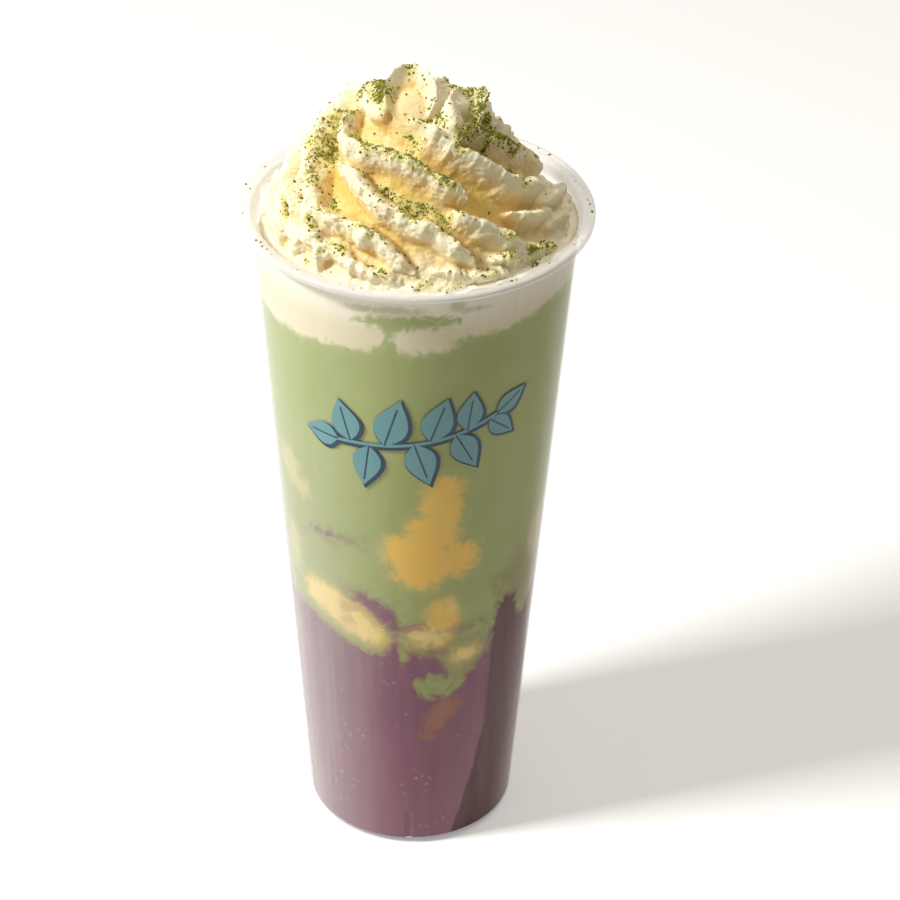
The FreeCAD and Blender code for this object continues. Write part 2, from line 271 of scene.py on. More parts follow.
# Ovals of colour on the wall, by field
SPOTS = {
    "custard": [
        (-1, 104, 6.2, 5.2, 0), (7, 100, 8.6, 5.6, -6), (19, 100.5, 6.0, 4.6, 0), (9, 110, 6.4, 6.6, 0),
        (12, 118, 5.0, 6.6, 12), (14, 124, 4.2, 3.6, 0), (2, 95.5, 5, 3.4, -20), (-48, 82.0, 4.2, 4.0, 0),
        (-39, 81.5, 5.2, 4.6, -20), (-30, 79, 5.6, 4.8, -25), (-21, 75.5, 5.0, 3.6, -28),
        (15, 83.5, 3.6, 3.8, 0), (15, 80, 4.0, 2.6, 0), (7, 75.2, 4.0, 2.6, 10), (13, 73.6, 2.6, 2.2, 0),
        (26, 66.8, 3.2, 2.4, 0), (-136, 92, 5.4, 5.0, 0), (-128, 97, 7.8, 6.4, 10), (-117, 103, 6.6, 5.6, 0),
        (114, 88, 5.6, 5.0, 0), (124, 84, 7.0, 6.0, -14), (134, 80, 4.8, 4.2, 0)],
    "custard_pale": [
        (-47, 82.5, 6, 5.5, -20), (-38, 80.5, 6, 5.6, -30), (-27, 77, 7, 4.6, -30), (-20, 75, 4, 3.6, -30),
        (20, 85, 2.0, 2.0, 0), (8, 75, 5.4, 3.0, 0), (26, 66.5, 3.6, 2.6, 0), (-52, 115, 6, 4, 0)],
    "sunk_custard": [
        (-62, 119, 5.0, 5.6, 0), (-53, 115, 4, 3, 0), (13, 44, 2.4, 5.4, -24), (19, 49.5, 2.8, 3.4, -20),
        (70, 96, 5, 8, 0), (-100, 60, 6, 3, 20), (168, 58, 7, 3.4, -24), (-64, 92, 3, 7, 0)],
    "blush": [
        (-32, 79, 0.7, 2.2, 0), (-28, 82, 1.8, 0.7, 0), (-28.5, 78, 0.6, 1.6, 20), (15, 46, 3.0, 6, -24)],
    "mixed": [
        (58, 84, 8, 12, 0), (30, 66, 6, 7, 30), (-2, 72, 3, 5, 0), (8, 70, 7, 3, 0), (46, 88, 4, 4, 0),
        (-20, 73, 4, 2, -25)],
    "green_streak": [
        (-17, 179, 4.6, 0.8, 4), (-5, 179.6, 2.2, 0.6, 0), (15, 180.6, 1.8, 1.5, 0), (24, 179, 2.4, 0.6, 0),
        (-9, 169.6, 0.8, 0.7, 0), (7, 167.2, 0.5, 0.5, 0), (13.5, 169.6, 0.5, 0.5, 0),
        (1.5, 179.2, 0.8, 0.5, 0), (-30, 166.4, 0.5, 0.5, 0), (120, 173, 12, 2.6, -5), (170, 175, 9, 2, 4),
        (-110, 173, 12, 2.4, 5), (-155, 176, 8, 2, 0)],
}
UBE_SMEARS = [
    (-25, 84.2, 3.4, 1.5, -10), (-19, 84.8, 4.4, 2.0, -20), (-13, 82, 3.6, 2.2, -50), (-8.5, 78, 2.2, 1.6, -45),
    (-37, 103.8, 3.0, 0.7, 4), (3.5, 77.6, 3.4, 1.3, 25), (8, 79, 2.8, 1.3, 0), (14, 77.4, 4.0, 0.6, -3),
    (11, 70.5, 2.0, 1.2, 40), (16, 72, 1.0, 2.6, 0), (20, 80, 1.0, 2.4, 10), (150, 88, 8, 2.2, 18),
    (-150, 83, 7, 2, -15), (96, 74, 6, 3, 0)]
MATCHA_TONGUES = [(9.5, 58.0, 3.7, 3.5, 0), (15, 57.2, 4.0, 3.7, 0), (19.5, 57.6, 3.0, 2.4, 0),
                  (112, 60, 7, 6, 0), (-142, 62, 6, 5, 0)]
# Lobes of cream that sank in front of the matcha
CREAM_LOBES = [
    (-30, 170, 6, 4.2, 0), (-21, 170.5, 5, 3.8, 0), (-14.5, 171.4, 3.0, 2.8, 0), (-2.5, 170.6, 2.8, 3.2, 0),
    (3, 170.4, 4.0, 3.4, 0), (10, 171, 4.0, 3.8, 0), (15.5, 172.6, 3.0, 2.8, 0)]
# Borders against the wall, (angle, height): top of the ube and lower edge of the cream
UBE_EDGE = [
    (-180, 75), (-160, 70), (-140, 65), (-120, 68), (-100, 72), (-80, 74), (-65, 74), (-50, 73), (-40, 71.5),
    (-30, 69), (-20, 68), (-13, 67.5), (-9.5, 71), (-8, 75), (-6, 74), (-4.5, 67), (-3.5, 65.5), (-2, 67),
    (1, 69), (6, 68.5), (12, 67.5), (16, 65), (18.5, 61), (20.5, 58), (24, 55.6), (28, 58.5), (34, 63.5),
    (39, 67), (41, 73), (43, 79), (48, 82), (53, 80), (58, 73), (66, 70), (75, 76), (90, 72), (112, 64),
    (130, 70), (160, 77), (180, 75)]
CREAM_EDGE = [
    (-180, 168), (-150, 171), (-120, 166), (-90, 164), (-65, 164), (-40, 164.6), (-30, 166.5), (-24, 173),
    (-21, 176.5), (-10, 177.6), (5, 177.8), (17, 176.8), (19, 171.4), (40, 171.2), (60, 173), (90, 170),
    (120, 166), (150, 170), (180, 168)]
# Left edge of the painted shade on the right of the ube, which stands in for the cup's shadow on the table
# seen in the wall, and fades out towards its far side: (height, angle)
UBE_PAINTED_SHADE_EDGE = [(0, 23), (12, 30), (25, 36), (40, 41), (75, 42), (90, 44)]
UBE_PAINTED_SHADE_END = 82
UBE_PAINTED_SHADE_FADE = 0.06


def along_edge(edge, at):
    """Second number of the points of an edge, at given values of the first."""
    return np.interp(at, *zip(*edge))


def paint_drink(piece):
    """Stores on a drink piece how deep each point lies in each field, in millimetres."""
    mesh = piece.data
    co = np.empty(len(mesh.vertices) * 3, np.float32)
    mesh.vertices.foreach_get("co", co)
    co = co.reshape(-1, 3).astype(float) / MM
    angle = plan_angle(co[:, 0], co[:, 1])
    height = co[:, 2]
    per_degree = math.pi / 180 * wall_radius(height)
    slope = (along_edge(UBE_EDGE, angle + 1.5) - along_edge(UBE_EDGE, angle - 1.5)) / 3 / per_degree
    ube = (along_edge(UBE_EDGE, angle) - height) / np.sqrt(1 + slope ** 2)
    ube = np.maximum(ube, blots(angle, height, UBE_SMEARS))
    ube = np.minimum(ube, -blots(angle, height, MATCHA_TONGUES))
    # Painted shade: how far each point lies inside the darkened right side of the ube
    deep = (angle - along_edge(UBE_PAINTED_SHADE_EDGE, height)) * per_degree
    fields = {name: blots(angle, height, spots) for name, spots in SPOTS.items()}
    fields["ube"] = ube
    fields["ube_painted_shade"] = np.minimum(deep, (UBE_PAINTED_SHADE_END - angle) * per_degree * UBE_PAINTED_SHADE_FADE)
    fields["cream"] = np.maximum(height - along_edge(CREAM_EDGE, angle), blots(angle, height, CREAM_LOBES))
    for name, values in fields.items():
        layer = mesh.attributes.new(name, "FLOAT", "POINT")
        layer.data.foreach_set("value", values.astype(np.float32))


# Milk behind a clear wall: fully dense, so it scatters at its face; the wall in front gives it a gloss.
# The borders are broken up by wisps about 2 and 6 mm across, and fine froth bubbles of 0.3 mm lie in the ube.
drink_milks, tree, output = new_material("layered_milks")
place = add(tree, "ShaderNodeTexCoord").outputs["Object"]
wisps = cloudy(150.0, 4.0, Roughness=0.62, Distortion=2.0)
swirls = cloudy(34.0, Distortion=0.6)
froth = add(tree, "ShaderNodeTexVoronoi", {"Vector": place, "Scale": 420.0}, feature="F1")
clouds = cloudy(70.0)
axes = add(tree, "ShaderNodeSeparateXYZ", {0: place})


def border(attribute, wisp_reach, soft, shift=0.0):
    """0 to 1 across the border of one field, frayed by the wisps: reach and softness in millimetres."""
    depth = add(tree, "ShaderNodeAttribute", attribute_name=attribute).outputs["Fac"]
    fray = ramp(wisps, 0.25, 0.75, -wisp_reach, wisp_reach, clamp=False)
    frayed = add(tree, "ShaderNodeMath", {0: depth, 1: fray}, operation="ADD").outputs[0]
    return ramp(frayed, shift - soft, shift + soft, interpolation_type="SMOOTHSTEP")


def layer_over(below, colour, cover):
    """One colour laid over another, as far as cover says; either may be a colour or a socket."""
    return add(tree, "ShaderNodeMix", {0: cover, 6: below, 7: colour}, data_type="RGBA").outputs[2]


def scaled(value, share):
    """A value or mask times another, or weakened to a share of itself."""
    return add(tree, "ShaderNodeMath", {0: value, 1: share}, operation="MULTIPLY").outputs[0]


matcha = layer_over(srgb("B9C584"), srgb("A3AF6A"), swirls)
matcha = layer_over(matcha, srgb("97855E"), scaled(border("mixed", 3.0, 3.5), 0.6))
matcha = layer_over(matcha, srgb("DCD59C"), scaled(border("sunk_custard", 2.0, 2.0), 0.75))
ube = layer_over(srgb("9A667E"), srgb("84546B"), swirls)
ube = layer_over(ube, srgb("B7889A"), ramp(axes.outputs["Z"], 0.05, 0.005, 0.0, 0.4))
bubbles = ramp(froth.outputs["Distance"], 0.12, 0.30, 1.0, 0.0)
bubbly = ramp(clouds, 0.50, 0.68)
ube = layer_over(ube, srgb("C9AEB8"), scaled(bubbles, scaled(bubbly, 0.6)))
ube = layer_over(ube, srgb("B97C50"), scaled(border("sunk_custard", 2.0, 1.8), 0.7))
# Painted shade: the ube darkened to red-brown at the right, for the wall's reflection of the cup's shadow
ube = layer_over(ube, srgb("522221"), scaled(border("ube_painted_shade", 0.5, 0.8), 0.92))
milk = layer_over(matcha, srgb("8F7B5C"), scaled(border("ube", 3.2, 2.4, -1.2), 0.55))
milk = layer_over(milk, ube, border("ube", 2.0, 1.2))
custard = layer_over(srgb("FFDC74"), srgb("FFD064"), swirls)
custard = layer_over(custard, srgb("FDEBA6"), scaled(border("custard_pale", 1.5, 1.8), 0.75))
milk = layer_over(milk, srgb("D9CC84"), scaled(border("custard", 2.2, 2.2, -1.6), 0.6))
milk = layer_over(milk, custard, border("custard", 1.7, 1.9))
milk = layer_over(milk, srgb("B07864"), scaled(border("blush", 1.4, 1.0), 0.45))
cream_and_painted_glow = layer_over(srgb("F5F0D8"), srgb("EAE2BC"), clouds)
# Painted light: the cream is made whiter towards the top under the rim, for light that glows through it there
cream_and_painted_glow = layer_over(cream_and_painted_glow, srgb("FFFCEC"), ramp(axes.outputs["Z"], 0.172, 0.179))
cream_and_painted_glow = layer_over(cream_and_painted_glow, srgb("B3BD86"), scaled(border("green_streak", 0.8, 0.6), 0.6))
milk = layer_over(milk, srgb("C6D09C"), scaled(border("cream", 1.6, 1.8, -1.4), 0.5))
milk = layer_over(milk, cream_and_painted_glow, border("cream", 1.6, 1.0))
milks = add(tree, "ShaderNodeBsdfPrincipled", {
    "Base Color": milk, "Roughness": 0.4, "IOR": 1.35, "Specular IOR Level": 0.2, "Coat Weight": 0.15,
    "Coat Roughness": 0.03, "Coat IOR": 1.49})
tree.links.new(milks.outputs[0], output.inputs["Surface"])

ube_mesh = layer_between(lambda angle, share: 3.3 if share < 0.9 else 1.9,
                         lambda angle, share: wavy_level(UBE_TOP, angle, share), rows=100, rings=6)
paint_drink(piece_from(ube_mesh, "ube_milk_layer", drink_milks, ("ube_milk",), crisp=40))

matcha_mesh = layer_between(lambda angle, share: wavy_level(UBE_TOP, angle, share),
                            lambda angle, share: wavy_level(MATCHA_TOP, angle, share), rows=136, rings=6)
paint_drink(piece_from(matcha_mesh, "matcha_latte_layer", drink_milks,
                       ("matcha_latte", "custard_front", "custard_low_left", "custard_low_right",
                        "custard_small", "custard_back_left", "custard_back_right"), crisp=40))


# ---- Bed of cream ------------------------------------------------------------
# The first ring of whipped cream, pushed flat against the wall under the mouth.  Streaks of matcha show
# through it where it is thin, and its upper face is rough and slopes down towards the back.

def bed_top(angle, share):
    """Height of the bed's rough upper face."""
    slope = -5.0 - 3.5 * math.cos(math.radians(angle + 145.0)) * share
    x, y = share * math.sin(math.radians(angle)), -share * math.cos(math.radians(angle))
    rough = noise.fractal(Vector((x * 8, y * 8, 1.7)), 0.8, 2.2, 4)
    return CUP_HEIGHT + slope + 1.0 * rough


bed_mesh = layer_between(lambda angle, share: wavy_level(MATCHA_TOP, angle, share), bed_top, rows=26, rings=40)
paint_drink(piece_from(bed_mesh, "cream_bed", drink_milks, ("cream_layer",), crisp=60))


# ---- Swirl of whipped cream --------------------------------------------------
# Cream piped from a star nozzle in one climbing, turning rope.  Its ridges run down to the right as thin
# frilled fins over deep folds, and curled tongues of cream stand where the nozzle was pulled away.

# (height above the mouth, radius out to the ridges, depth of the folds between them)
SWIRL_PROFILE = [
    (-9.0, 39.4, 0.6), (-4.5, 39.8, 0.8), (-2.0, 39.8, 1.6), (1.0, 39.0, 5.2), (6.0, 37.0, 8.5), (12.0, 33.6, 9.0),
    (18.0, 29.4, 9.0), (24.0, 24.8, 8.5), (30.0, 19.0, 7.5), (34.0, 13.5, 6.0), (37.0, 7.0, 4.0)]
SWIRL_FOOT = -9.0
CORE_HEIGHTS = (-11, -9, -6, -4, -2, 0, 3, 6, 9, 12, 15, 18, 21, 24, 27, 30, 32.5, 34.5, 36)
CREST_STEP = 1.0
FIN_REACH = 11.5
FIN_WIDTH = 9.5
FIN_EDGE = 0.6
FRONT_LEAN = 2.2
ROUND_LEAN = 1.6
SKIN_VOXEL = 0.48
# Ridges at the front: (x, y, height above the mouth) along each crest, from its upper end down
FRONT_CRESTS = [
    [(-14.5, -6.0, 33.5), (-19.2, -9.5, 31.5), (-20.3, -14.0, 28.6), (-17.6, -18.8, 26.6), (-12.8, -22.4, 26.4),
     (-4.1, -25.3, 25.9), (2.0, -27.6, 23.3), (8.3, -28.4, 20.4), (14.2, -28.6, 17.2)],
    [(-1.5, -17.2, 34.3), (4.0, -20.6, 30.8), (9.9, -21.8, 27.2), (17.6, -21.2, 22.0), (22.2, -19.6, 18.8),
     (27.4, -16.8, 14.4), (32.0, -9.5, 10.0), (35.2, -2.0, 5.0), (36.5, 4.0, 0.0)],
    [(9.0, -13.6, 30.6), (15.4, -13.4, 28.0), (20.6, -11.4, 24.2), (24.6, -6.0, 19.6),
     (28.6, 1.0, 14.0), (31.6, 8.5, 8.0), (32.4, 15.5, 1.5)],
    [(12.0, -6.5, 31.5), (16.5, -5.0, 28.6), (20.4, -1.0, 24.6), (23.4, 4.5, 19.0), (26.0, 10.5, 12.6),
     (27.5, 17.0, 5.0)],
    [(-20.4, -19.4, 22.4), (-16.6, -25.4, 19.6), (-11.4, -30.2, 17.0), (-5.2, -32.9, 15.2), (-0.6, -34.7, 13.1),
     (4.6, -35.4, 10.8), (11.0, -36.5, 6.9), (15.5, -36.8, 2.8)],
    [(9.0, -30.4, 16.0), (13.5, -32.0, 12.8), (20.5, -30.8, 8.6), (27.0, -28.0, 3.4), (30.0, -24.5, -0.5)],
    [(-30.6, -20.0, 9.4), (-24.5, -27.0, 10.6), (-17.0, -32.0, 10.9), (-11.4, -35.2, 8.6), (-5.4, -38.4, 5.0),
     (0.5, -39.6, 1.5)],
    [(-33.6, -16.6, 3.6), (-29.0, -25.0, 3.6), (-22.0, -31.8, 3.0), (-14.0, -37.0, 1.0)],
    [(24.4, -24.2, 12.2), (28.4, -22.6, 9.2), (32.4, -17.4, 6.0), (36.0, -11.0, 2.0), (38.0, -5.0, 0.0)],
    [(-24.0, -3.0, 26.0), (-27.5, -9.0, 20.5), (-29.0, -15.0, 15.6), (-27.0, -21.0, 12.4), (-23.5, -25.4, 11.6)],
    [(-32.5, -1.0, 13.0), (-35.0, -7.5, 8.6), (-35.2, -13.0, 5.0), (-33.4, -19.6, 2.6), (-29.0, -26.5, 1.0)],
    [(-33.5, 4.0, 10.0), (-37.2, -3.0, 7.0), (-38.4, -9.5, 3.8), (-37.2, -15.5, 1.6), (-34.0, -22.0, -0.5)],
    [(-36.5, 8.0, 4.0), (-39.4, 1.0, 1.6), (-39.6, -6.0, 0.4), (-38.0, -13.0, -1.5)],
    [(-24.0, -30.6, 3.4), (-17.0, -35.6, 1.8), (-8.0, -39.0, -0.6), (0.0, -39.6, -2.5)],
    [(20.0, -33.4, 2.6), (27.0, -28.6, 0.4), (33.0, -21.6, -1.0), (37.0, -14.0, -2.5)],
    [(34.2, -13.2, 8.0), (37.2, -6.0, 5.6), (38.4, 2.0, 3.0), (37.4, 10.0, -0.5)],
    [(35.0, -17.0, 3.0), (38.4, -9.0, 1.6), (39.6, -1.0, 0.0), (38.6, 7.0, -2.0)],
    [(4.0, -38.0, 2.4), (11.0, -38.4, 0.2), (19.0, -35.4, -1.8), (26.0, -30.6, -3.0)],
]
# Ridges round the sides and the back: (angle and height of the upper end, angle at the mouth)
ROUND_CRESTS = [(112, 31, 168), (126, 22, 182), (138, 35, 196), (165, 24, 214), (184, 36, 236), (212, 27, 256),
                (226, 36, 276), (246, 25, 292), (262, 31, 306), (284, 22, 322)]
# Tongues: spine from foot to tip, widths along it, hollow, thickness, angle faced.  They are a petal at the
# front, a finger curled over at its left, and a scroll and a wedge at its right.
TONGUES = [
    ([(-1.2, -12.4, 29.5), (-1.3, -11.6, 31.8), (-1.6, -9.4, 35.0), (-1.9, -6.6, 38.2), (-2.0, -3.8, 40.5),
      (-2.0, -2.2, 41.3)], [5.0, 10.0, 13.0, 13.8, 12.4, 9.0, 3.0], 4.6, 1.2, 6),
    ([(-8.6, -4.2, 35.8), (-9.6, -8.0, 35.2), (-9.8, -11.4, 32.8), (-8.8, -13.2, 29.6)],
     [5.0, 7.2, 7.2, 5.8, 3.0], -1.6, 3.8, -22),
    ([(11.8, -9.4, 27.0), (12.0, -8.4, 30.6), (12.3, -6.4, 34.0), (12.4, -4.4, 36.2)],
     [5.0, 7.6, 9.6, 10.6, 8.0], 4.4, 1.3, 14),
    ([(8.0, -16.0, 26.0), (7.9, -13.2, 30.0), (7.8, -10.2, 33.0), (7.7, -8.2, 34.4)],
     [12.0, 10.0, 5.6, 1.6], -4.0, 3.0, 10),
]
# Rounded cream that fills the top of the swirl behind the tongues: (middle, half sizes)
TOP_FILLING = [((-2.0, -3.0, 32.0), (8.0, 6.5, 4.5)), ((6.0, -4.5, 31.0), (8.0, 6.0, 4.5)),
               ((-9.0, -5.0, 32.0), (6.0, 5.0, 5.5))]


def profile_at(height):
    """Radius and depth of fold of the swirl at a height above the mouth, in millimetres."""
    hs = [p[0] for p in SWIRL_PROFILE]
    return (float(np.interp(height, hs, [p[1] for p in SWIRL_PROFILE])),
            float(np.interp(height, hs, [p[2] for p in SWIRL_PROFILE])))


def swirl_axis(height):
    """Middle of the swirl: it starts in the middle of the cup, comes forward and then leans to the left."""
    forward = min(max((height + 3.0) / 9.0, 0.0), 1.0)
    return Vector(((1.5 - 0.12 * height) * forward, -0.8 - 2.8 * forward, height))


def swirl_point(height, angle, radius):
    """Point of the swirl at an angle in radians: its back is flatter than its front."""
    middle = swirl_axis(height)
    back = -radius * math.cos(angle)
    if back > 0:
        back *= 1 - 0.24 * min(max(height / 10.0, 0.0), 1.0)
    return Vector((middle.x + radius * math.sin(angle), middle.y + back, height))


def smooth_path(points, step):
    """Even points along a smooth curve through the given ones."""
    pts = [Vector(p) for p in points]
    ends = [2 * pts[0] - pts[1]] + pts + [2 * pts[-1] - pts[-2]]
    fine = []
    for a, b, c, d in zip(ends, ends[1:], ends[2:], ends[3:]):
        for i in range(12):
            t = i / 12
            fine.append(0.5 * (2 * b + (c - a) * t + (2 * a - 5 * b + 4 * c - d) * t * t
                               + (3 * b - a - 3 * c + d) * t ** 3))
    fine.append(pts[-1])
    even, left = [fine[0]], step
    for a, b in zip(fine, fine[1:]):
        length = (b - a).length
        while length >= left:
            a = a + (b - a) * (left / length)
            even.append(a)
            length, left = (b - a).length, step
        left -= length
    return even


def round_crest(angle_top, height_top, angle_mouth):
    """Crest that winds down from its upper end to the mouth, on the swirl's profile."""
    points = []
    for i in range(8):
        t = i / 7
        height = height_top * (1 - t) - 2.0 * t
        angle = math.radians(angle_top + (angle_mouth - angle_top) * (1 - (1 - t) ** 1.25))
        radius = profile_at(height)[0] + 0.9 * math.sin(i * 2.1 + angle_top)
        points.append(swirl_point(height, angle, radius))
    return points


def fin_frame(path, i):
    """Directions at a point of a crest: along it, outward from the swirl, and up along the swirl's face."""
    along = (path[min(i + 1, len(path) - 1)] - path[max(i - 1, 0)]).normalized()
    h = path[i].z
    slope = (profile_at(h + 2)[0] - profile_at(h - 2)[0]) / 4
    radial = path[i] - swirl_axis(h)
    outward = Vector((radial.x, radial.y, 0)).normalized() + Vector((0, 0, -slope))
    outward = (outward - outward.dot(along) * along).normalized()
    up = outward.cross(along)
    return along, outward, up if up.z > 0 else -up


def skin_over(bm, rings):
    """Surface over rings of vertices, each joined to the next, closed at both ends."""
    for a, b in zip(rings, rings[1:]):
        bmesh.ops.bridge_loops(bm, edges=[e for e in {e for v in a + b for e in v.link_edges}
                                          if all(w in a for w in e.verts) or all(w in b for w in e.verts)])
    for ring in (rings[0], rings[-1]):
        bmesh.ops.contextual_create(bm, geom=[e for e in {e for v in ring for e in v.link_edges}
                                              if all(w in ring for w in e.verts)])


def add_fin(bm, path, lean):
    """Thin ridge along a crest, thick in the swirl and sharp at the crest, which leans up or down by lean."""
    rings = []
    last = len(path) - 1
    for i, point in enumerate(path):
        along, outward, up = fin_frame(path, i)
        end = min(1.0, 0.35 + i / 9, 0.3 + (last - i) / 7)
        ring = bmesh.ops.create_circle(bm, segments=16, radius=1.0)["verts"]
        point = point + up * (1.1 * noise.noise(point * 0.19)) + outward * (1.2 * noise.noise(point * 0.27))
        for v in ring:
            n, u = v.co.x, v.co.y
            depth = (1 - n) / 2
            half = (FIN_EDGE + (FIN_WIDTH / 2 - FIN_EDGE) * depth ** 0.75) * end
            side = u / max(math.sqrt(max(1 - n * n, 0)), 1e-3) if abs(n) < 0.999 else 0
            rounding = math.sqrt(max(1 - max(0.0, 1 - depth * 9) ** 2, 0)) if depth < 0.111 else 1
            v.co = (point + outward * (-depth * FIN_REACH - (1 - end) * 2.0)
                    + up * (side * half * rounding + lean * (1 - depth) ** 2 * end))
        rings.append(ring)
    skin_over(bm, rings)


def add_core(bm):
    """Body of the swirl inside the folds."""
    rings = []
    for height in CORE_HEIGHTS:
        radius, fold = profile_at(height)
        ring = bmesh.ops.create_circle(bm, segments=72, radius=1.0)["verts"]
        for v in ring:
            v.co = swirl_point(height, math.atan2(v.co.x, -v.co.y), max(radius - fold, 3.0))
        rings.append(ring)
    skin_over(bm, rings)


def add_tongue(bm, spine, widths, hollow, thick, facing):
    """Curled tongue along a spine: cupped across towards one way, with a rounded rim."""
    path = smooth_path(spine, 0.7)
    last = len(path) - 1
    way = Vector((math.sin(math.radians(facing)), -math.cos(math.radians(facing)), 0))
    rings = []
    for i, point in enumerate(path):
        along = (path[min(i + 1, last)] - path[max(i - 1, 0)]).normalized()
        across = Vector((-way.y, way.x, 0))
        front = across.cross(along).normalized()
        half = float(np.interp(i / last, np.linspace(0, 1, len(widths)), widths)) / 2
        ring = bmesh.ops.create_circle(bm, segments=28, radius=1.0)["verts"]
        for v in ring:
            s, side = v.co.x, v.co.y
            thin = min(1.0, 0.4 + 0.3 * (last - i)) * min(1.0, 0.3 + half / thick)
            v.co = point + across * (s * half) + front * (
                hollow * (s * s - 0.5) * half / max(widths) * 2
                + thick / 2 * thin * math.copysign(abs(side) ** 0.6, side))
        rings.append(ring)
    skin_over(bm, rings)


def largest_shell_only(bm):
    """Deletes every loose bit of skin but the largest."""
    loose = set(bm.verts)
    shells = []
    while loose:
        shell, border_of_shell = set(), [loose.pop()]
        while border_of_shell:
            v = border_of_shell.pop()
            shell.add(v)
            near = {e.other_vert(v) for e in v.link_edges} & loose
            loose -= near
            border_of_shell += near
        shells.append(shell)
    for shell in sorted(shells, key=len)[:-1]:
        bmesh.ops.delete(bm, geom=list(shell), context="VERTS")


swirl_mesh = bmesh.new()
add_core(swirl_mesh)
crest_paths = [smooth_path(points, CREST_STEP) for points in FRONT_CRESTS]
crest_paths += [smooth_path(round_crest(*ends), CREST_STEP) for ends in ROUND_CRESTS]
for number, path in enumerate(crest_paths):
    add_fin(swirl_mesh, path, FRONT_LEAN if number < len(FRONT_CRESTS) else ROUND_LEAN)
for tongue in TONGUES:
    add_tongue(swirl_mesh, *tongue)
for middle, half_sizes in TOP_FILLING:
    bmesh.ops.create_uvsphere(swirl_mesh, u_segments=24, v_segments=14, radius=1.0,
                              matrix=Matrix.Translation(middle) @ Matrix.Diagonal((*half_sizes, 1)))
bmesh.ops.recalc_face_normals(swirl_mesh, faces=swirl_mesh.faces)
bmesh.ops.scale(swirl_mesh, vec=(MM, MM, MM), verts=swirl_mesh.verts)
bmesh.ops.translate(swirl_mesh, vec=(0, 0, CUP_HEIGHT * MM), verts=swirl_mesh.verts)

# Whipped cream with the same warm depth as the bed: thin edges glow, and its folds are painted butter yellow and
# then tan, a painted shade for the light lost deep in them.  Its skin has crumbs of about 1 mm and pores of
# 0.3 mm; dust that has wetted it leaves a green-yellow stain.
swirl_cream, tree, output = new_material("whipped_cream")
place = add(tree, "ShaderNodeTexCoord").outputs["Object"]
painted_fold_shade = add(tree, "ShaderNodeAttribute", attribute_name="fold").outputs["Fac"]
stain = add(tree, "ShaderNodeAttribute", attribute_name="stain").outputs["Fac"]
crumbs = cloudy(900.0, 3.0, Roughness=0.65)
# Painted shade: the cream darkens to butter yellow and tan deeper in the folds
cream_white = layer_over(srgb("FBF2D4"), srgb("E6C25E"), painted_fold_shade)
stained = ramp(scaled(cloudy(260.0), stain), 0.18, 0.5)
cream_white = layer_over(cream_white, srgb("E4DA8C"), scaled(stained, 0.75))
specks = ramp(cloudy(1500.0, 1.0), 0.60, 0.68)
cream_white = layer_over(cream_white, srgb("8C8A3A"), scaled(specks, stained))
skin = add(tree, "ShaderNodeBump", {"Height": crumbs, "Strength": 0.6, "Distance": 0.0006})
whipped = add(tree, "ShaderNodeBsdfPrincipled", {
    "Base Color": cream_white, "Roughness": 0.5, "IOR": 1.4, "Subsurface Weight": 0.5,
    "Subsurface Radius": (1.0, 0.8, 0.42), "Subsurface Scale": 0.0026, "Normal": skin.outputs["Normal"]})
tree.links.new(whipped.outputs[0], output.inputs["Surface"])
cream_swirl = piece_from(swirl_mesh, "cream_swirl_piped", swirl_cream, ("cream_swirl",))

# The joined rings become one skin and are relaxed; the foot is cut flat and closed, and bits that the skin left
# inside the folds are dropped
remesh = cream_swirl.modifiers.new("one_skin", "REMESH")
remesh.mode = "VOXEL"
remesh.voxel_size = SKIN_VOXEL * MM
relax = cream_swirl.modifiers.new("relax", "SMOOTH")
relax.factor, relax.iterations = 0.5, 3
bpy.context.view_layer.update()
skinned = bpy.data.meshes.new_from_object(cream_swirl.evaluated_get(bpy.context.evaluated_depsgraph_get()))
cream_swirl.modifiers.clear()
cream_swirl.data = skinned
skinned.name = "cream_swirl_piped"
whole = bmesh.new()
whole.from_mesh(skinned)
foot = bmesh.ops.bisect_plane(whole, geom=whole.verts[:] + whole.edges[:] + whole.faces[:], clear_inner=True,
                              plane_co=(0, 0, (CUP_HEIGHT + SWIRL_FOOT) * MM), plane_no=(0, 0, 1))
bmesh.ops.holes_fill(whole, edges=[g for g in foot["geom_cut"] if isinstance(g, bmesh.types.BMEdge)], sides=0)
largest_shell_only(whole)
whole.to_mesh(skinned)
whole.free()

crest_tree = KDTree(sum(len(p) for p in crest_paths))
crest_facts = []
for number, path in enumerate(crest_paths):
    for i, point in enumerate(path):
        crest_tree.insert(point, len(crest_facts))
        crest_facts.append((number, i * CREST_STEP, fin_frame(path, i)[1]))
crest_tree.balance()


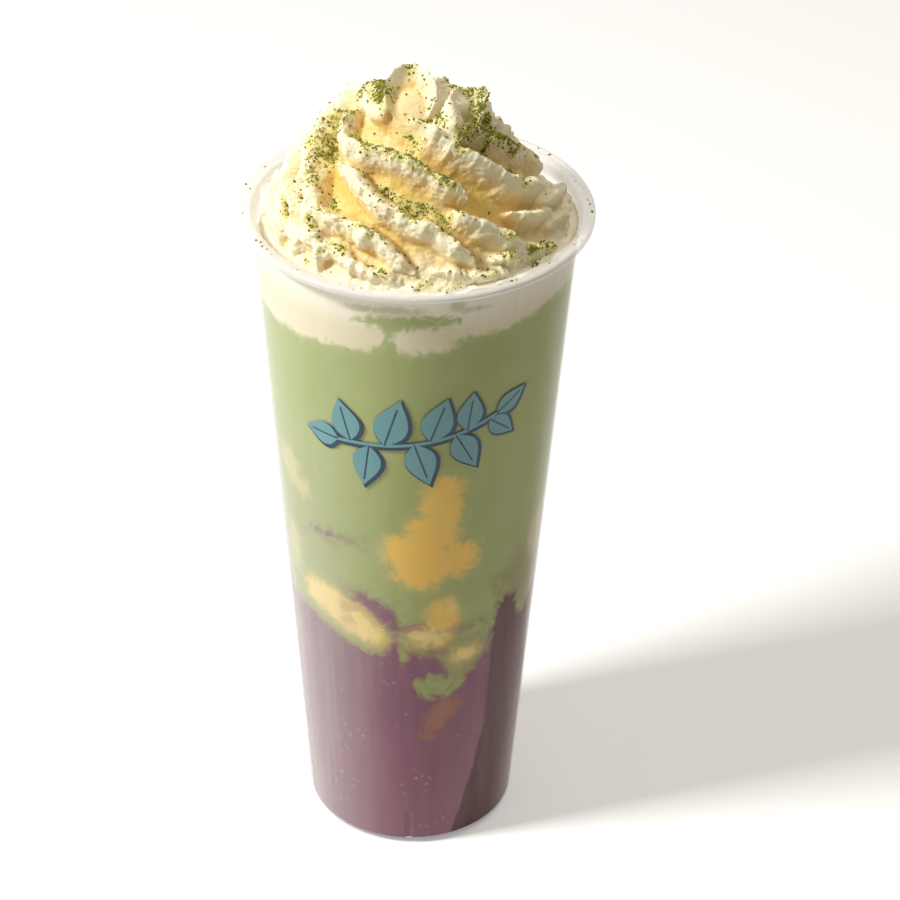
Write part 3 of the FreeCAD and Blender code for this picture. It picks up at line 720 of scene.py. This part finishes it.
def ruffle(mesh):
    """Gives the skin lumps, crumbs and frills across its ridges, and stores how deep it lies in the folds."""
    folds = np.zeros(len(mesh.vertices), np.float32)
    normals = [v.normal.copy() for v in mesh.vertices]
    for v, normal in zip(mesh.vertices, normals):
        p = v.co / MM - Vector((0, 0, CUP_HEIGHT))
        near, index, _ = crest_tree.find(p)
        number, travelled, outward = crest_facts[index]
        across = (p - near).length
        near_crest = math.exp(-(across / 4.4) ** 2)
        pleats = (abs(noise.noise(Vector((travelled / 1.15, across / 4.0, number * 3.1)))) * 1.5
                  + abs(noise.noise(Vector((travelled / 0.6, across / 1.8, number * 5.3)))) * 0.7) - 0.55
        lumps = noise.noise(p / 8.0) * 0.8 + noise.noise(p / 3.1) * 0.42
        crumb = abs(noise.noise(p / 1.25)) * 2 + abs(noise.noise(p / 0.62)) - 0.8
        calm = 1 - 0.8 * min(max((p.z - 28.5) / 4.0, 0.0), 1.0)
        rise = lumps * (0.4 + 0.6 * calm) + calm * (pleats * (0.75 * near_crest + 0.04)
                                                    + crumb * (0.16 + 0.2 * near_crest))
        v.co += normal * (rise * MM)
        # How deep the point lies in the folds, which sets the painted shade of the cream's colour
        depth = -(p - near).dot(outward)
        folds[v.index] = min(max((depth - 1.4) / 5.8, 0.0), 1.0)
    mesh.attributes.new("fold", "FLOAT", "POINT").data.foreach_set("value", folds)


ruffle(skinned)
# The skin stays under the part's height, inside the wall in the mouth, and within the flange above it
TOP_GAP, MOUTH_REACH, FLANGE_REACH = 0.0004, 0.0405, 0.0435
for v in skinned.vertices:
    v.co.z = min(v.co.z, cad_box[1].z - TOP_GAP)
    reach = math.hypot(v.co.x, v.co.y)
    limit = MOUTH_REACH if v.co.z < (CUP_HEIGHT + 0.5) * MM else FLANGE_REACH
    if reach > limit:
        v.co.x *= limit / reach
        v.co.y *= limit / reach
skinned.shade_smooth()


# ---- Matcha dust -------------------------------------------------------------
# Green tea powder tapped from a sieve over the finished drink: crumbs of 0.2 to 1.3 mm that lie in drifts on
# the upper sides of the ridges and the curls, and a few on the flange of the cup.

# Drifts seen from above: (x, y, spread in mm, number of crumbs)
DRIFTS = [
    (19.5, -8, 2.6, 480), (18, -4, 1.8, 240), (22.5, -4, 2.4, 260), (14, -14.5, 2.0, 240), (17, -12, 2.2, 240),
    (15.5, -8, 1.8, 160), (24, -1, 3.0, 90), (-2, -2.4, 1.0, 40), (-5, -2.8, 1.0, 36), (1.4, -2.8, 1.0, 30),
    (-8.2, -6.2, 1.6, 120), (-8.0, -9, 1.6, 100), (-13, -5, 2.4, 60), (9, -4.2, 1.2, 40), (13, -4.0, 1.4, 60),
    (16, -5, 1.2, 40), (4.4, -13.5, 2.0, 60), (-16, -7, 3, 70), (-19, -11, 2.4, 60), (-14, -15, 2.4, 36),
    (-10, -19.6, 2.0, 60), (-6, -22.6, 2.0, 60), (0, -17, 2.4, 60), (-2, -25, 2.6, 80), (5, -26.6, 2.6, 60),
    (10, -20.6, 2.4, 30), (-22, -3, 4, 110), (-24, -11, 3.4, 100), (-26, -16, 3, 60), (-20, -20, 2.4, 50),
    (-31, -14, 2.5, 40), (-25, -26, 3, 60), (-18, -31, 2.4, 40), (-12, -33, 3, 40), (-8, -37, 3, 30),
    (-3, -32, 2.4, 40), (9, -31, 3, 40), (14, -31.6, 2.4, 30), (22, -29, 2.6, 20), (26, -16, 3, 40),
    (29, -25, 2.4, 130), (33, -20, 2.0, 90), (24, -30, 2.0, 50), (18, -36, 3, 16), (30, -2, 4, 60),
    (27, 6, 4, 70), (20, 12, 5, 80), (8, 10, 5, 90), (-5, 8, 5, 90), (-16, 8, 5, 80), (2, 17, 5, 80),
    (-26, 6, 4, 70), (12, 20, 5, 40), (-12, 18, 5, 40), (0, -12, 22, 260), (2, -39, 2.4, 30), (8, -39, 2.4, 30),
    (14, -38, 2.4, 30), (20, -35.5, 2.2, 26), (-6, -38.6, 2.2, 14), (20, -10, 2.2, 260), (23, -7, 2.2, 200),
    (12, -16.5, 1.8, 140), (-12, -20.5, 1.6, 70), (-7, -23, 1.6, 70), (1, -26, 1.8, 70), (8, -26.5, 1.8, 60),
    (-9, -10, 1.2, 80), (30, -24, 1.8, 90), (-20, -8, 2.4, 80)]
# In metres: height from which the crumbs fall, and inner radius and width of their band on the flange
SIEVE_HEIGHT, FLANGE_INNER, FLANGE_BAND = 0.26, 0.0425, 0.0018
FLANGE_CRUMBS = 46
CRUMB_BATCH = 150
# The cream is fully stained where this many crumbs lie within this many millimetres
STAIN_FULL, STAIN_REACH = 7.0, 1.5

dice = random.Random(11)
landing = BVHTree.FromObject(cream_swirl, bpy.context.evaluated_depsgraph_get())
spots = []
for x, y, spread, count in DRIFTS:
    for _ in range(count):
        start = [(middle + dice.gauss(0, spread * 0.6)) * MM for middle in (x, y)]
        point, normal, _, _ = landing.ray_cast(Vector((*start, SIEVE_HEIGHT)), Vector((0, 0, -1)))
        if point is not None and normal.z > 0.02 + dice.random() * 0.3 and point.z > (CUP_HEIGHT - 4) * MM:
            spots.append((point, normal))
for _ in range(FLANGE_CRUMBS):
    angle, radius = dice.random() * math.tau, FLANGE_INNER + FLANGE_BAND * dice.random()
    spots.append((Vector((radius * math.cos(angle), radius * math.sin(angle), CUP_HEIGHT * MM)), Vector((0, 0, 1))))


def crumbs_mesh(landed):
    """Joined mesh of small uneven crumbs, each sunk a little into what it landed on."""
    whole = bmesh.new()
    for first in range(0, len(landed), CRUMB_BATCH):
        batch = bmesh.new()
        for point, normal in landed[first:first + CRUMB_BATCH]:
            size = (0.12 + 0.26 * dice.random() ** 2.0) * MM
            turn = normal.rotation_difference(Vector((0, 0, 1))).inverted().to_matrix().to_4x4()
            turn = turn @ Matrix.Rotation(dice.random() * math.tau, 4, "Z")
            shape = Matrix.Diagonal((size * dice.uniform(0.9, 1.7), size * dice.uniform(0.7, 1.2), size * 0.7, 1))
            bmesh.ops.create_icosphere(batch, subdivisions=1, radius=1.0,
                                       matrix=Matrix.Translation(point + normal * size * 0.25) @ turn @ shape)
        take_in(whole, batch)
    return whole


# Dry leaf powder: dull, dark olive green to bright green from crumb to crumb
matcha_powder, tree, output = new_material("matcha_powder")
place = add(tree, "ShaderNodeTexCoord").outputs["Object"]
green = layer_over(srgb("62621C"), srgb("9FA040"), ramp(cloudy(700.0, 1.0), 0.35, 0.68))
powder = add(tree, "ShaderNodeBsdfPrincipled", {"Base Color": green, "Roughness": 0.95, "IOR": 1.4})
tree.links.new(powder.outputs[0], output.inputs["Surface"])
piece_from(crumbs_mesh(spots), "matcha_dust", matcha_powder)

# The cream under a drift takes its colour
drift_tree = KDTree(len(spots))
for number, (point, _) in enumerate(spots):
    drift_tree.insert(point, number)
drift_tree.balance()
stains = np.zeros(len(skinned.vertices), np.float32)
for v in skinned.vertices:
    around = len(drift_tree.find_range(v.co, STAIN_REACH * MM))
    stains[v.index] = min(around / STAIN_FULL, 1.0)
skinned.attributes.new("stain", "FLOAT", "POINT").data.foreach_set("value", stains)


# ---- Print on the cup --------------------------------------------------------
# A tea sprig screen-printed on the front of the wall: pale teal leaves on one stem, each over a dark blue
# shadow leaf that shows along its lower right side.  Both inks are films a few hundredths of a millimetre thick.

# Leaves: (distance along the wall and height of the foot, length, width, direction in degrees)
SPRIG_LEAVES = [
    (-19.5, 137.4, 10.0, 6.4, 178), (-16.0, 137.9, 12.5, 7.4, 104), (-11.0, 137.4, 13.0, 7.2, -98),
    (-7.0, 138.2, 15.0, 8.2, 74), (0.5, 139.0, 13.5, 7.6, -72), (4.5, 140.0, 13.5, 7.6, 72),
    (11.0, 141.2, 12.5, 6.8, -62), (14.0, 142.2, 11.5, 6.4, 84), (20.0, 144.0, 9.5, 5.4, -40),
    (22.0, 145.2, 10.0, 5.2, 34)]
SPRIG_STEM = [(-21.0, 137.2), (-14.0, 137.7), (-6.0, 138.2), (3.0, 139.4), (12.0, 141.6), (22.5, 145.4)]
PRINT_RADIUS = 38.0


def leaf_outline(bm, foot, length, width, direction, grow):
    """Flat pointed leaf: a disc stretched, pinched at its ends and laid along its direction."""
    disc = bmesh.ops.create_circle(bm, cap_ends=True, segments=40, radius=1.0)["verts"]
    for v in disc:
        t, side = v.co.x, v.co.y
        pinch = (1 - t * t) ** 0.5 * (0.62 - 0.30 * t) / 0.62
        v.co = Vector(((t + 1) / 2 * (length + 2 * grow) - grow, side * pinch * (width / 2 + grow), 0))
    turn = Matrix.Translation((foot[0], foot[1], 0)) @ Matrix.Rotation(math.radians(direction), 4, "Z")
    bmesh.ops.transform(bm, matrix=turn, verts=disc)


def stem_strip(bm, points, width):
    """Flat strip of ink of one width along the stem."""
    path = smooth_path([(x, z, 0) for x, z in points], 1.0)
    strip = bmesh.ops.create_grid(bm, x_segments=len(path) - 1, y_segments=1, size=0.5)["verts"]
    for v in strip:
        i = min(int(round((v.co.x + 0.5) * (len(path) - 1))), len(path) - 1)
        along = (path[min(i + 1, len(path) - 1)] - path[max(i - 1, 0)]).normalized()
        v.co = path[i] + Vector((-along.y, along.x, 0)) * (width * v.co.y)


def wrap_ink(bm, shift, lift, thick):
    """Cuts flat ink into narrow strips, bends it round the wall and gives it its thickness."""
    bmesh.ops.translate(bm, vec=(shift[0], shift[1], 0), verts=bm.verts)
    for i in range(-40, 41):
        bmesh.ops.bisect_plane(bm, geom=bm.verts[:] + bm.edges[:] + bm.faces[:], plane_co=(i, 0, 0),
                               plane_no=(1, 0, 0))
    for v in bm.verts:
        radius = wall_radius(v.co.y) + lift
        angle = v.co.x / PRINT_RADIUS
        v.co = Vector((radius * math.sin(angle), -radius * math.cos(angle), v.co.y)) * MM
    bmesh.ops.recalc_face_normals(bm, faces=bm.faces)
    for f in bm.faces:
        if f.normal.dot(f.calc_center_median() * Vector((1, 1, 0))) < 0:
            f.normal_flip()
    shell = bmesh.ops.extrude_face_region(bm, geom=bm.faces[:])
    for v in [g for g in shell["geom"] if isinstance(g, bmesh.types.BMVert)]:
        flat = Vector((v.co.x, v.co.y, 0)).normalized()
        v.co += flat * thick * MM
    bmesh.ops.recalc_face_normals(bm, faces=bm.faces)


def ink_material(name, light, dark):
    """Screen ink: even colour with a faint mottle, satin gloss."""
    material, tree, output = new_material(name)
    place = add(tree, "ShaderNodeTexCoord").outputs["Object"]
    mottle = add(tree, "ShaderNodeTexNoise", {"Vector": place, "Scale": 500.0, "Detail": 2.0})
    colour = add(tree, "ShaderNodeMix", {0: mottle.outputs["Fac"], 6: srgb(light), 7: srgb(dark)},
                 data_type="RGBA")
    ink = add(tree, "ShaderNodeBsdfPrincipled", {"Base Color": colour.outputs[2], "Roughness": 0.35, "IOR": 1.5})
    tree.links.new(ink.outputs[0], output.inputs["Surface"])
    return material


def sprig_film(grow, stem_width, shift, lift):
    """Leaves and stem of the sprig in one ink, each leaf larger by grow, on the wall."""
    bm = bmesh.new()
    for x, z, length, width, direction in SPRIG_LEAVES:
        leaf_outline(bm, (x, z), length, width, direction, grow)
    stem_strip(bm, SPRIG_STEM, stem_width)
    wrap_ink(bm, shift, lift, 0.03)
    return bm


def vein_film(vein_width, lift):
    """Thin vein down the middle of every leaf, on the wall."""
    bm = bmesh.new()
    for x, z, length, _, direction in SPRIG_LEAVES:
        way = Vector((math.cos(math.radians(direction)), math.sin(math.radians(direction))))
        points = [(x + way.x * length * t, z + way.y * length * t) for t in (0.0, 0.3, 0.6, 0.86)]
        stem_strip(bm, points, vein_width)
    wrap_ink(bm, (0.0, 0.0), lift, 0.02)
    return bm


dark_blue = ink_material("dark_blue_ink", "103650", "0C2F47")
teal = ink_material("teal_ink", "6FA5AC", "659AA2")
piece_from(sprig_film(0.55, 1.9, (0.55, -0.45), 0.02), "print_dark_blue", dark_blue, crisp=30)
piece_from(sprig_film(0.0, 0.9, (0.0, 0.0), 0.07), "print_teal", teal, crisp=30)
piece_from(vein_film(0.42, 0.12), "print_veins", dark_blue, crisp=30)


# ---- Floor, light and camera -------------------------------------------------
# A white table under a bright lamp at the left, a little towards the viewer, a broad warm lamp overhead
# and a soft fill.

def shown_or_lit(when_lighting, when_shown):
    """One shader for rays that show a surface, straight, mirrored or through the cup, another for its light."""
    rays = add(tree, "ShaderNodeLightPath").outputs
    seen = add(tree, "ShaderNodeMath", {0: rays["Is Camera Ray"], 1: rays["Is Glossy Ray"]}, operation="ADD")
    seen = add(tree, "ShaderNodeMath", {0: seen.outputs[0], 1: rays["Is Transmission Ray"]}, operation="ADD",
               use_clamp=True)
    return add(tree, "ShaderNodeMixShader", {0: seen.outputs[0], 1: when_lighting, 2: when_shown}).outputs[0]


floor_mesh = bmesh.new()
bmesh.ops.create_grid(floor_mesh, x_segments=1, y_segments=1, size=3.0)
floor_data = bpy.data.meshes.new("table")
floor_mesh.to_mesh(floor_data)
floor_mesh.free()
floor = bpy.data.objects.new("table", floor_data)
scene.collection.objects.link(floor)
table_white, tree, output = new_material("table_white")
matt = add(tree, "ShaderNodeBsdfDiffuse", {"Color": (0.86, 0.88, 0.91, 1)})
own = add(tree, "ShaderNodeEmission", {"Color": (1, 1, 1, 1), "Strength": 0.30})
shown = add(tree, "ShaderNodeAddShader", {0: matt.outputs[0], 1: own.outputs[0]})
plain = add(tree, "ShaderNodeBsdfDiffuse", {"Color": (0.62, 0.61, 0.6, 1)})
tree.links.new(shown_or_lit(plain.outputs[0], shown.outputs[0]), output.inputs["Surface"])
floor_data.materials.append(table_white)

world = bpy.data.worlds.new("white_room")
scene.world = world
world.use_nodes = True
tree = world.node_tree
tree.nodes.clear()
output = tree.nodes.new("ShaderNodeOutputWorld")
fill = add(tree, "ShaderNodeBackground", {"Color": (1.0, 0.90, 0.75, 1), "Strength": 0.20})
backdrop = add(tree, "ShaderNodeBackground", {"Color": (1, 1, 1, 1), "Strength": 1.0})
tree.links.new(shown_or_lit(fill.outputs[0], backdrop.outputs[0]), output.inputs["Surface"])


def lamp(name, azimuth, elevation, distance, size, power, colour):
    """Square lamp aimed at the middle of the drink, from a direction given in degrees."""
    light = bpy.data.lights.new(name, "AREA")
    light.shape, light.size, light.energy, light.color = "SQUARE", size, power, colour
    at = bpy.data.objects.new(name, light)
    a, e = math.radians(azimuth), math.radians(elevation)
    way = Vector((math.cos(e) * math.cos(a), math.cos(e) * math.sin(a), math.sin(e)))
    target = Vector((0, 0, 0.13))
    at.location = target + way * distance
    at.rotation_euler = way.to_track_quat("Z", "Y").to_euler()
    scene.collection.objects.link(at)


lamp("window", azimuth=199, elevation=44, distance=1.2, size=0.22, power=15.6, colour=(1.0, 0.98, 0.94))
lamp("ceiling", azimuth=20, elevation=74, distance=1.2, size=0.7, power=4.2, colour=(1.0, 0.90, 0.74))

camera_data = bpy.data.cameras.new("camera")
camera_data.lens, camera_data.sensor_width = 130.74, 36.0
camera_data.clip_start, camera_data.clip_end = 0.05, 20.0
camera = bpy.data.objects.new("camera", camera_data)
# The camera looks down by tilt and is turned a little by roll
tilt, roll = math.radians(33.93), math.radians(0.992)
look = Vector((0, math.cos(tilt), -math.sin(tilt)))
right, up = Vector((1, 0, 0)), Vector((0, math.sin(tilt), math.cos(tilt)))
camera_x = right * math.cos(roll) + up * math.sin(roll)
camera_y = up * math.cos(roll) - right * math.sin(roll)
turned = Matrix((camera_x, camera_y, -look)).transposed().to_4x4()
camera.matrix_world = Matrix.Translation((0.009486, -0.71493, 0.59304)) @ turned
scene.collection.objects.link(camera)
scene.camera = camera
scene.view_settings.view_transform = "Standard"
